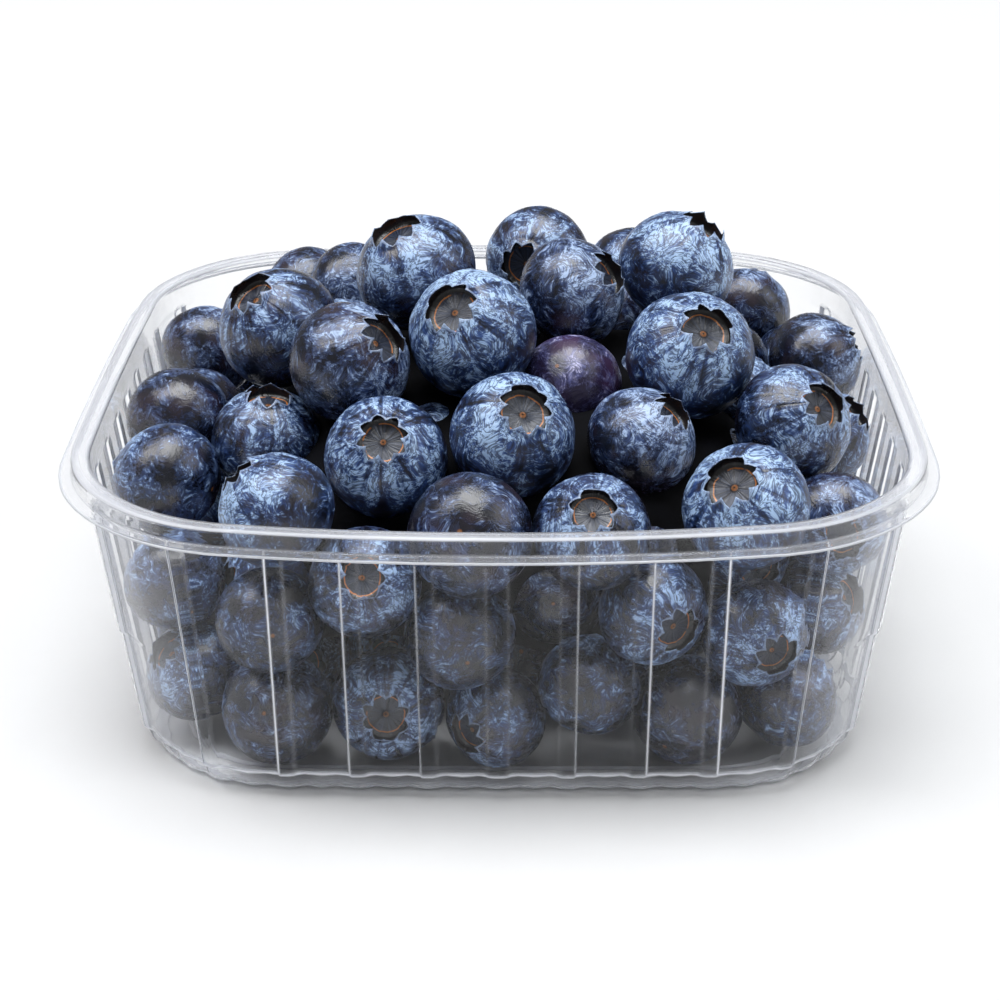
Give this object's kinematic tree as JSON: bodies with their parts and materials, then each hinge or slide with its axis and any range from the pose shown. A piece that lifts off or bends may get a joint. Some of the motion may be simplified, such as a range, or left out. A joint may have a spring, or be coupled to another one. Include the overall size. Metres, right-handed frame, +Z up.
{
  "type": "punnet of blueberries",
  "caption": "Open clear plastic punnet with ribbed sloping walls, rounded corners and a flat lipped rim, heaped above the rim with round dark blue berries",
  "frame": {"origin": "middle of the base's flat underside, on the surface the punnet stands on", "axes": "+X along the width, to the right seen from the front; +Y to the back; +Z up"},
  "size_m": [0.126, 0.1208, 0.0673],
  "materials": {
    "clear_plastic": "clear, glossy",
    "berry_skin": "satin with a pale waxy bloom"
  },
  "bodies": {
    "root": {"punnet": "clear_plastic", "berries": "berry_skin"}
  },
  "joints": []
}
